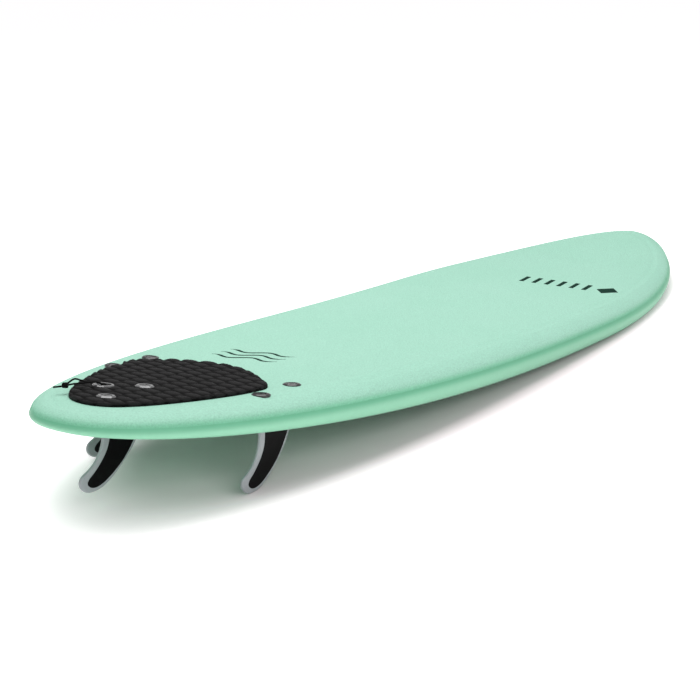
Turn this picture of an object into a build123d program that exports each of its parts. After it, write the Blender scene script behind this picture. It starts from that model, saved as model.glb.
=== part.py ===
from build123d import *
from math import cos, exp, hypot, pi, radians, sin, sqrt, tan
import os

# Soft-top surfboard, resting on its two side fins and its belly.
# X runs from tail to nose, Y across the board, Z up; the floor is Z = 0.
# "station" is the distance from the tail tip, so X = station - LENGTH / 2.

# --- Board: driving dimensions (mm)
LENGTH = 2134.0
HALF_WIDTH = 279.0
WIDE_POINT = 1386.0
NOSE_FULLNESS = (2.153, 1.717)
TAIL_FULLNESS = (2.964, 2.301)
CONTACT = 1598.0
TAIL_LIFT, TAIL_CURVE = 152.6, 1.914
NOSE_LIFT, NOSE_CURVE = 51.4, 2.345
THICKNESS = 75.4
TAIL_THICKNESS = 32.5
NOSE_THICKNESS = 34.3
THINNING = 2.2
APEX = 0.36
RAIL_ROUND = 80.0
CHINE_ROUND = 30.0
CROWN = 0.08

# --- Half sections of the board: they fan out round the tail and the nose
SECTIONS = 49
FAN_TAIL, FAN_NOSE = 300.0, 240.0
FAN_LEAD = 80.0
DECK_STEPS = [0, 0.3, 0.8, 1.4, 2, 2.7, 3.5, 4.5, 6, 9, 13, 18, 25, 34, 45, 57, 70, 85, 105]
BOTTOM_STEPS = [70, 50, 38, 30, 24, 18, 13, 9, 6, 3.5, 1.8, 0.7]
CENTRE_SHARES = [0.6, 0.8, 1.0]

# --- Layers
DECK_SKIN = 5.0
BOTTOM_SKIN = 3.0
SEAM = 0.50
SEAM_DEPTH = 1.4
SEAM_WIDTH = 4.0
STRINGER_WIDTH = 5.0
STRINGER_Y = 95.0
STRINGER_END = 130.0

# --- Tail pad
# Half outline from its rear tip to its front: station and distance from the centre line
PAD_THICKNESS = 7.0
PAD_GAP = 1.5
PAD_TIP, PAD_FRONT = (72, 0), (431, 0)
PAD_SIDE = [(89, 47), (119, 72), (150, 90), (214, 117), (282, 138)]
PAD_CORNER = [(330, 146), (352, 145), (369, 135)]
PAD_NOSE = [(390, 107), (410, 75)]
PAD_SHIFT = 5.0

# --- Fins and their bolts
# Outlines forward of and above the base point, in the fin's own plane
FIN_THICKNESS = 6.0
FIN_ROUND = 2.2
CORE_ROUND = 0.8
EDGE_RELIEF = 0.4
FIN_OUTLINE = [
    (48, 0), (39, -16), (27, -38), (11, -57), (-6, -74), (-26, -90), (-45, -100.3), (-64, -104.8),
    (-80, -104.2), (-92, -98), (-98, -89), (-96, -80), (-87, -73), (-72, -63.5), (-60, -50),
    (-52.5, -34), (-50, -17), (-51, 0),
]
CORE_OUTLINE = [
    (42.5, 0), (34, -15), (25.5, -29), (16.5, -42.5), (5, -57), (-9, -70), (-25, -82), (-41, -91.7),
    (-55, -97), (-67, -98), (-76, -95.3), (-81, -89.5), (-78.5, -83.3), (-69.5, -75.5), (-59, -65.5),
    (-49.5, -54.5), (-41.5, -42), (-37, -29.5), (-35.8, -15), (-37, 0),
]
BOLT_SPACING = 92.8
FOOT_LENGTH = 118.0
FOOT_WIDTH = 17.0
FOOT_THICKNESS = 3.0
SIDE_STATION, SIDE_Y = 352.5, 157.2
SIDE_TOE, SIDE_CANT = 2.8, 2.5
CENTRE_STATION = 156.5
POST_RADIUS, POST_HEIGHT = 5.5, 24.0
INSERT_RADIUS, INSERT_BOTTOM = 4.0, 8.0
SHANK_RADIUS, SHANK_BOTTOM = 2.5, 10.0
SLEEVE_RADIUS, SLEEVE_START, SLEEVE_BORE_TOP = 8.0, 0.6, 26.0
FLANGE_RADIUS, FLANGE_HEIGHT, FLANGE_BEVEL = 16.0, 5.0, 1.8
RECESS_RADIUS, RECESS_DEPTH = 9.0, 2.8
HEAD_RADIUS, HEAD_HEIGHT, HEAD_CHAMFER = 8.2, 2.3, 0.6
SLOT_WIDTH, SLOT_DEPTH = 2.0, 1.3
DECK_SEAT = -3.0
PAD_SEAT = 2.5

# --- Leash plug and string; routes run along the string, across it and up, from the bar
LEASH_STATION, LEASH_Y = 163.8, 53.6
LEASH_FLANGE_RADIUS = 18.5
LEASH_CUP_RADIUS, LEASH_CUP_WALL, LEASH_CUP_DEPTH = 15.5, 2.5, 20.0
BAR_RADIUS, BAR_DROP, BAR_LENGTH = 2.5, 4.0, 29.0
STRING = 3.0
STRING_HEADING = 164.3
HITCH_PITCH = 2.9
KNOT_LENGTH, KNOT_WIDTH = 11.0, 9.0
KNOT_PLACE = (71.5, 0, 5.6)
STRAND_UPPER = [
    (3, -1.7, 4), (11, -1.8, 8.6), (22, -2.0, 9.0), (33, -2.2, 9.5),
    (42, -2.2, 11.6), (50, -2.2, 14.9), (58, -2.0, 14.4), (67.5, -1.3, 7.6),
]
STRAND_LOWER = [
    (3, 1.7, 4), (11, 1.9, 8.2), (23, 2.1, 9.0), (35, 2.2, 9.1),
    (46, 2.2, 7.9), (56, 2.0, 7.8), (67.5, 1.2, 6.2),
]
STRING_END = [(75, -0.6, 4.6), (80, -3.4, 3.4), (84.6, -6.2, 2.5), (88.6, -9.2, 1.8)]

os.makedirs("parts", exist_ok=True)


def save(name, part):
    part.label = name
    export_step(part, f"parts/{name}.step")


# --- Board surfaces
def half_width(station):
    """Half of the board's width, fore or aft of the wide point."""
    if station >= WIDE_POINT:
        reach = (station - WIDE_POINT) / (LENGTH - WIDE_POINT)
        power, root = NOSE_FULLNESS
    else:
        reach = (WIDE_POINT - station) / WIDE_POINT
        power, root = TAIL_FULLNESS
    return HALF_WIDTH * max(0, 1 - reach**power) ** (1 / root)


def bottom_height(station):
    """Rocker: height of the bottom's flat above the floor."""
    tail = max(0, (CONTACT - station) / CONTACT)
    nose = max(0, (station - CONTACT) / (LENGTH - CONTACT))
    return TAIL_LIFT * tail**TAIL_CURVE + NOSE_LIFT * nose**NOSE_CURVE


def bottom_slope(station):
    return (bottom_height(station + 1) - bottom_height(station - 1)) / 2


def thickness(station):
    middle = LENGTH / 2
    tail = max(0, (middle - station) / middle)
    nose = max(0, (station - middle) / middle)
    tail_loss = (THICKNESS - TAIL_THICKNESS) * tail**THINNING
    nose_loss = (THICKNESS - NOSE_THICKNESS) * nose**THINNING
    return THICKNESS - tail_loss - nose_loss


def quarter_round(reach):
    return sqrt(1 - (1 - min(reach, 1)) ** 2)


def deck_fraction(inward, span):
    """Share of the thickness at a distance in from the rail, on the deck side."""
    crown = 1 - (1 - inward / span) ** 2
    rail = quarter_round(inward / RAIL_ROUND)
    return APEX + (1 - APEX) * ((1 - CROWN) * rail + CROWN * crown)


def bottom_fraction(inward):
    return APEX * (1 - quarter_round(inward / CHINE_ROUND))


def outline_point(turn):
    """Plan point and inward normal at turn 0 (tail tip) to 1 (nose tip)."""
    station = LENGTH * (1 - cos(pi * turn)) / 2
    if turn in (0, 1):
        return station, 0, 1 - 2 * turn, 0
    step = 0.001
    run = LENGTH * (cos(pi * (turn - step)) - cos(pi * (turn + step))) / 2
    before = half_width(LENGTH * (1 - cos(pi * (turn - step))) / 2)
    after = half_width(LENGTH * (1 - cos(pi * (turn + step))) / 2)
    length = hypot(run, after - before)
    return station, half_width(station), (after - before) / length, -run / length


def section_points(turn, inset, deck_cover, bottom_cover, seam_depth):
    """One half section, from the bottom's centre line round the rail to the deck's."""
    station, side, toward_x, toward_y = outline_point(turn)
    target = FAN_TAIL + (1 - (FAN_TAIL + FAN_NOSE) / LENGTH) * station
    span = hypot(target - station, side)

    def point(inward, on_deck):
        share = inward / span
        reach = 2 * share * (1 - share)
        x = (1 - share) ** 2 * station + reach * (station + FAN_LEAD * toward_x)
        x += share**2 * target
        y = (1 - share) ** 2 * side + reach * (side + FAN_LEAD * toward_y)
        if on_deck:
            fraction = deck_fraction(inward, span)
        else:
            fraction = bottom_fraction(inward)
        depth = thickness(x)
        off_seam = (fraction - SEAM) * depth / SEAM_WIDTH
        shift = (inset + seam_depth * exp(-off_seam * off_seam)) * (1 - share)
        z = bottom_height(x) + bottom_cover
        z += fraction * (depth - deck_cover - bottom_cover)
        return Vector(x + shift * toward_x - LENGTH / 2, max(0, y + shift * toward_y), z)

    bottom = [span * share for share in reversed(CENTRE_SHARES)] + BOTTOM_STEPS
    deck = DECK_STEPS + [span * share for share in CENTRE_SHARES]
    return [point(d, False) for d in bottom] + [point(d, True) for d in deck]


def board_solid(inset=0.0, deck_cover=0.0, bottom_cover=0.0, seam_depth=0.0):
    """Closed board: one patch round the half section, and its mirror image."""
    grid = []
    for row in range(SECTIONS):
        turn = row / (SECTIONS - 1)
        grid.append(section_points(turn, inset, deck_cover, bottom_cover, seam_depth))
    half = Face.make_surface_from_array_of_points(grid, tol=0.05, min_deg=3)
    return Solid(Shell([half, half.mirror(Plane.XZ)]))


outer = board_solid(seam_depth=SEAM_DEPTH)
inner = board_solid(DECK_SKIN, DECK_SKIN, BOTTOM_SKIN)
STAND = (Align.CENTER, Align.CENTER, Align.MIN)


# --- Places of the fins and bolts
def fin_frame(station, side, toe, cant):
    """Fin base point on the bottom, with unit vectors forward and up along the fin."""
    sign = (side > 0) - (side < 0)
    slope = bottom_slope(station)
    forward = Vector(cos(radians(toe)), -sign * sin(radians(toe)), slope).normalized()
    lean = Vector(-slope * cos(radians(cant)), -sign * sin(radians(cant)), cos(radians(cant)))
    up = (lean - forward * lean.dot(forward)).normalized()
    return Vector(station - LENGTH / 2, side, bottom_height(station)), forward, up


FINS = {
    "left": fin_frame(SIDE_STATION, SIDE_Y, SIDE_TOE, SIDE_CANT),
    "right": fin_frame(SIDE_STATION, -SIDE_Y, SIDE_TOE, SIDE_CANT),
    "centre": fin_frame(CENTRE_STATION, 0, 0, 0),
}


def deck_distance(start, direction):
    """Distance along a line from inside the board to where it leaves the deck."""
    hits = outer.find_intersection_points(Axis(start, direction))
    return max((hit[0] - start).dot(direction) for hit in hits)


def bolt_places():
    """Name, plane on the bottom, distance to the deck and flange seat of each bolt."""
    places = []
    for fin, (base, forward, up) in FINS.items():
        seat = PAD_SEAT if fin == "centre" else DECK_SEAT
        for end, shift in (("front", BOLT_SPACING / 2), ("rear", -BOLT_SPACING / 2)):
            foot = base + forward * shift
            plane = Plane(foot, x_dir=forward, z_dir=up)
            places.append((f"{fin}_{end}", plane, deck_distance(foot, up), seat))
    return places


BOLTS = bolt_places()
leash_foot = Vector(LEASH_STATION - LENGTH / 2, LEASH_Y, bottom_height(LEASH_STATION))
leash_up = FINS["centre"][2]
leash_forward = Vector(leash_up.Z, 0, -leash_up.X)
LEASH_SEAT = deck_distance(leash_foot, leash_up) + PAD_SEAT
LEASH_TOP = LEASH_SEAT + FLANGE_HEIGHT
leash_plane = Plane(leash_foot, x_dir=leash_forward, z_dir=leash_up)


def plug_envelope(plane, seat, body, flange, height=FLANGE_HEIGHT):
    """Space that a plug takes: body and flange are each a radius, and body a start as well."""
    body_radius, body_start = body
    with BuildPart(plane) as envelope:
        with Locations((0, 0, body_start)):
            Cylinder(body_radius, seat - body_start, align=STAND)
        with Locations((0, 0, seat)):
            Cylinder(flange, height, align=STAND)
    return envelope.part


def plug_spaces(gap, height):
    """Spaces of the six bolt plugs and the leash plug, with a gap round those beside the pad."""
    spaces = []
    for place, plane, deck, seat in BOLTS:
        flange = FLANGE_RADIUS if place.startswith("centre") else FLANGE_RADIUS + gap
        spaces.append(plug_envelope(plane, deck + seat, (SLEEVE_RADIUS, -FLANGE_HEIGHT), flange, height))
    cup = (LEASH_CUP_RADIUS, LEASH_SEAT - LEASH_CUP_DEPTH)
    spaces.append(plug_envelope(leash_plane, LEASH_SEAT, cup, LEASH_FLANGE_RADIUS, height))
    return spaces


def cut_plugs(gap=0.0, height=FLANGE_HEIGHT):
    """Cuts every plug out of the part being built."""
    for space in plug_spaces(gap, height):
        add(space, mode=Mode.SUBTRACT)


# --- Board layers
seam_stations = [LENGTH * step / 16 for step in range(-1, 18)]
seam_points = [(s - LENGTH / 2, bottom_height(s) + SEAM * thickness(s)) for s in seam_stations]
with BuildPart() as below_seam:
    with BuildSketch(Plane.XZ):
        with BuildLine():
            top = Spline(*seam_points)
            Polyline(top @ 1, (LENGTH, -50), (-LENGTH, -50), top @ 0)
        make_face()
    extrude(amount=LENGTH / 4, both=True)

with BuildPart() as deck_skin:
    add(outer)
    add(below_seam.part, mode=Mode.SUBTRACT)
    add(inner, mode=Mode.SUBTRACT)
    cut_plugs()
save("deck_skin", deck_skin.part)

with BuildPart() as bottom_skin:
    add(outer)
    add(below_seam.part, mode=Mode.INTERSECT)
    add(inner, mode=Mode.SUBTRACT)
    cut_plugs()
save("bottom_skin", bottom_skin.part)

stringer_length = LENGTH - 2 * STRINGER_END
with BuildPart() as stringer_slots:
    with Locations((0, STRINGER_Y, 0), (0, -STRINGER_Y, 0)):
        Box(stringer_length, STRINGER_WIDTH, LENGTH / 4)

with BuildPart() as foam_core:
    add(inner)
    add(stringer_slots.part, mode=Mode.SUBTRACT)
    cut_plugs()
save("foam_core", foam_core.part)

for name, side in (("stringer_left", STRINGER_Y), ("stringer_right", -STRINGER_Y)):
    with BuildPart() as stringer:
        with Locations((0, side, 0)):
            Box(stringer_length, STRINGER_WIDTH, LENGTH / 4)
        add(inner, mode=Mode.INTERSECT)
    save(name, stringer.part)


# --- Tail pad
def pad_points(places):
    return [(station - LENGTH / 2, side) for station, side in places]


with BuildPart() as tail_pad:
    with BuildSketch(Plane((0, PAD_SHIFT, 0))):
        with BuildLine():
            rear = pad_points([PAD_TIP, *PAD_SIDE, PAD_CORNER[0]])
            Spline(*rear, tangents=[(0, 1), (1, 0.3)])
            corner = ThreePointArc(*pad_points(PAD_CORNER))
            front = pad_points([*PAD_NOSE, PAD_FRONT])
            Spline(corner @ 1, *front, tangents=[corner % 1, (0, -1)])
            mirror(about=Plane.XZ)
        make_face()
    extrude(amount=LENGTH / 4)
    add(outer.moved(Location((0, 0, PAD_THICKNESS))), mode=Mode.INTERSECT)
    add(outer, mode=Mode.SUBTRACT)
    cut_plugs(PAD_GAP, 30)
save("tail_pad", tail_pad.part)


# --- Fin bolts, deck plugs and inserts
def deck_plug(plane, seat):
    """Flanged plug: a recess for the bolt head above, a socket for the fin post below."""
    top = seat + FLANGE_HEIGHT
    with BuildPart(plane) as plug:
        with Locations((0, 0, SLEEVE_START)):
            Cylinder(SLEEVE_RADIUS, seat - SLEEVE_START, align=STAND)
        with Locations((0, 0, seat)):
            Cylinder(FLANGE_RADIUS, FLANGE_HEIGHT - FLANGE_BEVEL, align=STAND)
        with Locations((0, 0, top - FLANGE_BEVEL)):
            Cone(FLANGE_RADIUS, FLANGE_RADIUS - FLANGE_BEVEL * 1.5, FLANGE_BEVEL, align=STAND)
        with Locations((0, 0, top - RECESS_DEPTH)):
            Cylinder(RECESS_RADIUS, RECESS_DEPTH, align=STAND, mode=Mode.SUBTRACT)
        Cylinder(POST_RADIUS, SLEEVE_BORE_TOP, align=STAND, mode=Mode.SUBTRACT)
        Cylinder(SHANK_RADIUS, top, align=STAND, mode=Mode.SUBTRACT)
    return plug.part


def fin_bolt(plane, seat):
    """Slotted bolt from the plug's recess down into the fin's insert."""
    head = seat + FLANGE_HEIGHT - RECESS_DEPTH
    with BuildPart(plane) as bolt:
        with Locations((0, 0, SHANK_BOTTOM)):
            Cylinder(SHANK_RADIUS, head - SHANK_BOTTOM, align=STAND)
        with Locations((0, 0, head)):
            Cylinder(HEAD_RADIUS, HEAD_HEIGHT, align=STAND)
        rims = bolt.edges().filter_by(GeomType.CIRCLE).sort_by(Axis(plane.origin, plane.z_dir))
        chamfer(rims[-1], HEAD_CHAMFER)
        with Locations((0, 0, head + HEAD_HEIGHT - SLOT_DEPTH)):
            Box(3 * HEAD_RADIUS, SLOT_WIDTH, SLOT_DEPTH, align=STAND, mode=Mode.SUBTRACT)
    return bolt.part


def insert(plane):
    """Threaded brass insert with a retaining groove."""
    height = POST_HEIGHT - INSERT_BOTTOM
    with BuildPart(plane) as sleeve:
        with Locations((0, 0, INSERT_BOTTOM)):
            Cylinder(INSERT_RADIUS, height, align=STAND)
            Cylinder(SHANK_RADIUS, height, align=STAND, mode=Mode.SUBTRACT)
        with Locations((0, 0, INSERT_BOTTOM + height / 2)):
            Cylinder(INSERT_RADIUS, 1.5, mode=Mode.SUBTRACT)
            Cylinder(INSERT_RADIUS - 0.5, 1.5)
            Cylinder(SHANK_RADIUS, 1.5, mode=Mode.SUBTRACT)
    return sleeve.part


for place, plane, deck, seat in BOLTS:
    save(f"deck_plug_{place}", deck_plug(plane, deck + seat))
    save(f"fin_bolt_{place}", fin_bolt(plane, deck + seat))
    save(f"bolt_insert_{place}", insert(plane))


# --- Fins
def blade(frame, outline, width):
    """Flat blade below the base point."""
    base, forward, up = frame
    with BuildPart() as plate:
        with BuildSketch(Plane(base, x_dir=forward, z_dir=forward.cross(up))):
            with BuildLine():
                rim = Spline(*outline)
                Line(rim @ 1, rim @ 0)
            make_face()
        extrude(amount=width / 2, both=True)
    return plate.part


def rounded(plate, frame, radius):
    """The blade with its rim rounded on both faces."""
    side = frame[1].cross(frame[2])
    with BuildPart() as soft:
        add(plate)
        faces = soft.faces().sort_by(Axis(frame[0], side))
        rims = ShapeList()
        for face in (faces[0], faces[-1]):
            rims.extend(face.edges().sort_by(Axis(frame[0], frame[2]))[:-1])
        fillet(rims, radius)
    return soft.part


def fin_posts(frame, radius, bottom, top):
    """Two upright cylinders at the bolts, in the fin's frame."""
    base, forward, up = frame
    with BuildPart(Plane(base, x_dir=forward, z_dir=up)) as posts:
        with Locations((BOLT_SPACING / 2, 0, bottom), (-BOLT_SPACING / 2, 0, bottom)):
            Cylinder(radius, top - bottom, align=STAND)
    return posts.part


def fin_foot(frame):
    base, forward, up = frame
    with BuildPart() as foot:
        with BuildSketch(Plane(base - up * FOOT_THICKNESS, x_dir=forward, z_dir=up)):
            SlotOverall(FOOT_LENGTH, FOOT_WIDTH)
        extrude(amount=2 * FOOT_THICKNESS)
    return foot.part


def build_fin(name, frame):
    core_blank = blade(frame, CORE_OUTLINE, FIN_THICKNESS)
    edge_blank = blade(frame, FIN_OUTLINE, FIN_THICKNESS - 2 * EDGE_RELIEF)
    with BuildPart() as core:
        add(rounded(core_blank, frame, CORE_ROUND))
        add(fin_foot(frame))
        add(outer, mode=Mode.SUBTRACT)
        add(fin_posts(frame, POST_RADIUS, -FOOT_THICKNESS / 2, POST_HEIGHT))
        add(fin_posts(frame, INSERT_RADIUS, INSERT_BOTTOM, POST_HEIGHT), mode=Mode.SUBTRACT)
    with BuildPart() as edge:
        add(rounded(edge_blank, frame, FIN_ROUND))
        add(fin_foot(frame), mode=Mode.SUBTRACT)
        add(core.part, mode=Mode.SUBTRACT)
    save(f"fin_core_{name}", core.part)
    save(f"fin_edge_{name}", edge.part)


for name, frame in FINS.items():
    build_fin(name, frame)


# --- Leash plug, its bar and the string
def leash_cup():
    floor = LEASH_SEAT - LEASH_CUP_DEPTH + LEASH_CUP_WALL
    rim = LEASH_FLANGE_RADIUS - FLANGE_BEVEL
    well = LEASH_CUP_RADIUS - LEASH_CUP_WALL
    with BuildPart(leash_plane) as cup:
        with Locations((0, 0, LEASH_SEAT - LEASH_CUP_DEPTH)):
            Cylinder(LEASH_CUP_RADIUS, LEASH_CUP_DEPTH, align=STAND)
        with Locations((0, 0, LEASH_SEAT)):
            Cylinder(LEASH_FLANGE_RADIUS, FLANGE_HEIGHT - FLANGE_BEVEL, align=STAND)
        with Locations((0, 0, LEASH_TOP - FLANGE_BEVEL)):
            Cone(LEASH_FLANGE_RADIUS, rim, FLANGE_BEVEL, align=STAND)
        with Locations((0, 0, floor)):
            Cylinder(well, LEASH_TOP - floor, align=STAND, mode=Mode.SUBTRACT)
    return cup.part


# The string's frame: X along the string, Z up from the pad, origin in the bar.
heading = Vector(cos(radians(STRING_HEADING)), sin(radians(STRING_HEADING)), 0)
along = (heading - leash_up * heading.dot(leash_up)).normalized()
bar_centre = leash_foot + leash_up * (LEASH_TOP - BAR_DROP)
string_plane = Plane(bar_centre, x_dir=along, z_dir=leash_up)
bar_plane = Plane(bar_centre, x_dir=along, z_dir=along.cross(leash_up))

with BuildPart(bar_plane) as leash_bar:
    Cylinder(BAR_RADIUS, BAR_LENGTH)
save("leash_bar", leash_bar.part)

with BuildPart() as leash_plug:
    add(leash_cup())
    add(leash_bar.part, mode=Mode.SUBTRACT)
save("leash_plug", leash_plug.part)

with BuildPart(bar_plane) as leash_hitch:
    with Locations((0, 0, HITCH_PITCH / 2), (0, 0, -HITCH_PITCH / 2)):
        Torus(BAR_RADIUS + STRING / 2, STRING / 2)
save("leash_hitch", leash_hitch.part)

knot_centre = string_plane.from_local_coords(Vector(*KNOT_PLACE))
with BuildPart() as leash_knot:
    with BuildSketch(Plane(knot_centre, x_dir=along, z_dir=leash_up)):
        Ellipse(KNOT_LENGTH / 2, KNOT_WIDTH / 2)
        below = (Align.CENTER, Align.MAX)
        Rectangle(KNOT_LENGTH, KNOT_WIDTH, align=below, mode=Mode.SUBTRACT)
    revolve(axis=Axis(knot_centre, along))
save("leash_knot", leash_knot.part)

def corner_radii(points):
    """Arc at each corner of a route: 0.45 of its shorter run over the tangent of half the turn."""
    radii = []
    for before, corner, after in zip(points, points[1:], points[2:]):
        run_in, run_out = corner - before, after - corner
        half_turn = radians(run_in.get_angle(run_out)) / 2
        radii.append(0.45 * min(run_in.length, run_out.length) / tan(half_turn))
    return radii


def string_tube(name, route, trims):
    """Tube along straight runs joined by tangent arcs, trimmed by the pieces it enters."""
    points = [string_plane.from_local_coords(Vector(*p)) for p in route]
    radii = corner_radii(points)
    with BuildPart() as tube:
        with BuildLine() as path:
            FilletPolyline(*points, radius=radii)
        wire = path.wires()[0]
        with BuildSketch(Plane(wire @ 0, z_dir=wire % 0)):
            Circle(STRING / 2)
        sweep(path=wire)
        expected = pi * (STRING / 2) ** 2 * wire.length
        print(name, "length", round(wire.length, 1), "volume", round(tube.part.volume, 1))
        print("  expected", round(expected, 1), "radii", [round(r, 1) for r in radii])
        for trim in trims:
            add(trim, mode=Mode.SUBTRACT)
    save(name, tube.part)


string_tube("leash_strand_upper", STRAND_UPPER, [leash_hitch.part, leash_knot.part])
string_tube("leash_strand_lower", STRAND_LOWER, [leash_hitch.part, leash_knot.part])
string_tube("leash_string_end", STRING_END, [leash_knot.part])
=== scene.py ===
from math import cos, pi, radians, sin

import bmesh
import bpy
import numpy as np
from mathutils import Matrix, Vector, geometry
from mathutils.bvhtree import BVHTree


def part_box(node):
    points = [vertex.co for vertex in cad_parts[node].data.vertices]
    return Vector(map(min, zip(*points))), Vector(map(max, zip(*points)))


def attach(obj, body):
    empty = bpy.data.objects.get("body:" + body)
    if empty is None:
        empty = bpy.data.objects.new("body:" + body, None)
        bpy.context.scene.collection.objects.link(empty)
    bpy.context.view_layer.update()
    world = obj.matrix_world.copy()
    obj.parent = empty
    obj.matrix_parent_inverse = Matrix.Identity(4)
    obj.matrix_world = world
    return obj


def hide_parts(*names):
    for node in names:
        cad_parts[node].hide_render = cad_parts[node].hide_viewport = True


# A soft-top surfboard at rest on a white studio floor. Axes: x toward the nose, y to the left, z up.
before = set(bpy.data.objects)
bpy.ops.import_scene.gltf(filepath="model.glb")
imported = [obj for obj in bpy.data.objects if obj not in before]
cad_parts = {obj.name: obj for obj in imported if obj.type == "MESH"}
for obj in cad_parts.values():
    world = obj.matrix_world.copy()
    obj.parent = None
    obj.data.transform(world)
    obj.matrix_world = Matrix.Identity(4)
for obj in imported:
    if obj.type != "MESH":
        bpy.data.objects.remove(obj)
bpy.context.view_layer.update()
scene = bpy.context.scene
MM = 0.001

# ---------------------------------------------------------------- camera
# Place in metres, angles in radians, lens and sensor in millimetres.
CAMERA_PLACE = Vector((-2.81785, -1.70548, 0.9737))
CAMERA_YAW, CAMERA_PITCH, CAMERA_ROLL = 0.9837, -0.2817, -0.0119
CAMERA_LENS, CAMERA_SENSOR = 85.730, 36

look = Vector((sin(CAMERA_YAW) * cos(CAMERA_PITCH), cos(CAMERA_YAW) * cos(CAMERA_PITCH), sin(CAMERA_PITCH)))
level = Vector((cos(CAMERA_YAW), -sin(CAMERA_YAW), 0))
right = level * cos(CAMERA_ROLL) + level.cross(look) * sin(CAMERA_ROLL)
camera_data = bpy.data.cameras.new("camera")
camera_data.lens = CAMERA_LENS
camera_data.sensor_width = CAMERA_SENSOR
camera = bpy.data.objects.new("camera", camera_data)
camera_turn = Matrix((right, right.cross(look), -look)).transposed().to_4x4()
camera.matrix_world = Matrix.Translation(CAMERA_PLACE) @ camera_turn
scene.collection.objects.link(camera)
scene.camera = camera

# ---------------------------------------------------------------- board formulas (mm), the same as the CAD's
# Stations are distances from the tail. The plan outline: its widest station, and the powers of its two ends.
LENGTH, HALF_WIDTH, WIDE_POINT = 2134.0, 279.0, 1386.0
NOSE_FULLNESS, TAIL_FULLNESS = (2.153, 1.717), (2.964, 2.301)
# The side view: where the bottom touches the floor, and the lift of each end with the power it rises by.
CONTACT = 1598.0
TAIL_LIFT, TAIL_CURVE = 152.6, 1.914
NOSE_LIFT, NOSE_CURVE = 51.4, 2.345
THICKNESS, TAIL_THICKNESS, NOSE_THICKNESS, THINNING = 75.4, 32.5, 34.3, 2.2
# The section: the rail's outermost height as a share of the thickness, the rounding above and below it, and
# the share of the deck's rise that goes on to the centre line.
APEX, RAIL_ROUND, CHINE_ROUND, CROWN = 0.36, 80.0, 30.0, 0.08
DECK_SKIN, BOTTOM_SKIN = 5.0, 3.0
# Lines across the board start square to the rail and bend toward the centre line, where they end between
# FAN_TAIL from the tail and FAN_NOSE from the nose.
FAN_TAIL, FAN_NOSE, FAN_LEAD = 300.0, 240.0, 80.0


def half_width(s):
    """Half the board's width at station s, a distance from the tail."""
    nose = np.clip((s - WIDE_POINT) / (LENGTH - WIDE_POINT), 0, 1)
    tail = np.clip((WIDE_POINT - s) / WIDE_POINT, 0, 1)
    fore = (1 - nose ** NOSE_FULLNESS[0]) ** (1 / NOSE_FULLNESS[1])
    aft = (1 - tail ** TAIL_FULLNESS[0]) ** (1 / TAIL_FULLNESS[1])
    return HALF_WIDTH * np.where(s >= WIDE_POINT, fore, aft)


def bottom_height(s):
    """Height of the bottom over the floor: it curves up to both ends from CONTACT."""
    tail = np.clip((CONTACT - s) / CONTACT, 0, None)
    nose = np.clip((s - CONTACT) / (LENGTH - CONTACT), 0, None)
    return TAIL_LIFT * tail**TAIL_CURVE + NOSE_LIFT * nose**NOSE_CURVE


def thickness(s):
    """The board's thickness, thinning to both ends from the middle."""
    middle = LENGTH / 2
    tail = np.clip((middle - s) / middle, 0, None)
    nose = np.clip((s - middle) / middle, 0, None)
    loss = (THICKNESS - TAIL_THICKNESS) * tail**THINNING + (THICKNESS - NOSE_THICKNESS) * nose**THINNING
    return THICKNESS - loss


def quarter_round(reach):
    """Rise of a quarter circle, from 0 to 1 as reach goes from 0 to 1."""
    return np.sqrt(1 - (1 - np.minimum(reach, 1)) ** 2)


# ---------------------------------------------------------------- the leash string's axes and routes
CENTRE_STATION = 156.5
STRING_HEADING = 164.3
STRING = 3.0
# Points (mm) from the leash bar's centre: along the string, to its side, and up from the deck.
STRAND_UPPER = [
    (3, -1.7, 4), (11, -1.8, 8.6), (22, -2.0, 9.0), (33, -2.2, 9.5),
    (42, -2.2, 11.6), (50, -2.2, 14.9), (58, -2.0, 14.4), (67.5, -1.3, 7.6),
]
STRAND_LOWER = [
    (3, 1.7, 4), (11, 1.9, 8.2), (23, 2.1, 9.0), (35, 2.2, 9.1),
    (46, 2.2, 7.9), (56, 2.0, 7.8), (67.5, 1.2, 6.2),
]
STRING_END = [(75, -0.6, 4.6), (80, -3.4, 3.4), (84.6, -6.2, 2.5), (88.6, -9.2, 1.8)]
STRAND_UPPER_LENGTH, STRAND_LOWER_LENGTH = 68.4, 65.6

bar_low, bar_high = (Vector(corner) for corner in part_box("leash_bar"))
bar_centre = (bar_low + bar_high) / 2
tail_slope = float(bottom_height(CENTRE_STATION + 1) - bottom_height(CENTRE_STATION - 1)) / 2
string_up = Vector((-tail_slope, 0, 1)).normalized()
heading = Vector((cos(radians(STRING_HEADING)), sin(radians(STRING_HEADING)), 0))
string_along = (heading - string_up * heading.dot(string_up)).normalized()
string_side = string_up.cross(string_along)


def string_point(place):
    """Scene point (m) of a place (mm) in the string's own axes."""
    along, aside, up = place
    return bar_centre + (string_along * along + string_side * aside + string_up * up) * MM


# ---------------------------------------------------------------- new pieces
def add_object(name, data, material):
    """A new piece that rides on the board."""
    piece = bpy.data.objects.new(name, data)
    scene.collection.objects.link(piece)
    data.materials.append(material)
    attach(piece, "root")
    return piece


def string_curve(name, route, radius=STRING / 2):
    """A smooth round string through the route."""
    curve = bpy.data.curves.new(name, "CURVE")
    curve.dimensions = "3D"
    spline = curve.splines.new("NURBS")
    spline.points.add(len(route) - 1)
    for point, place in zip(spline.points, route):
        point.co = (*string_point(place), 1)
    spline.order_u = 3
    spline.use_endpoint_u = True
    spline.resolution_u = 12
    curve.bevel_depth = radius * MM
    curve.bevel_resolution = 5
    curve.use_fill_caps = True
    return curve


# ---------------------------------------------------------------- materials
# The mesh attribute that marks painted shade: where it is 1, a material's colour is multiplied by its shade
# tint.
SHADE_ATTRIBUTE = "painted_shade"
ROUGHNESS_SPREAD = 0.06


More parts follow.
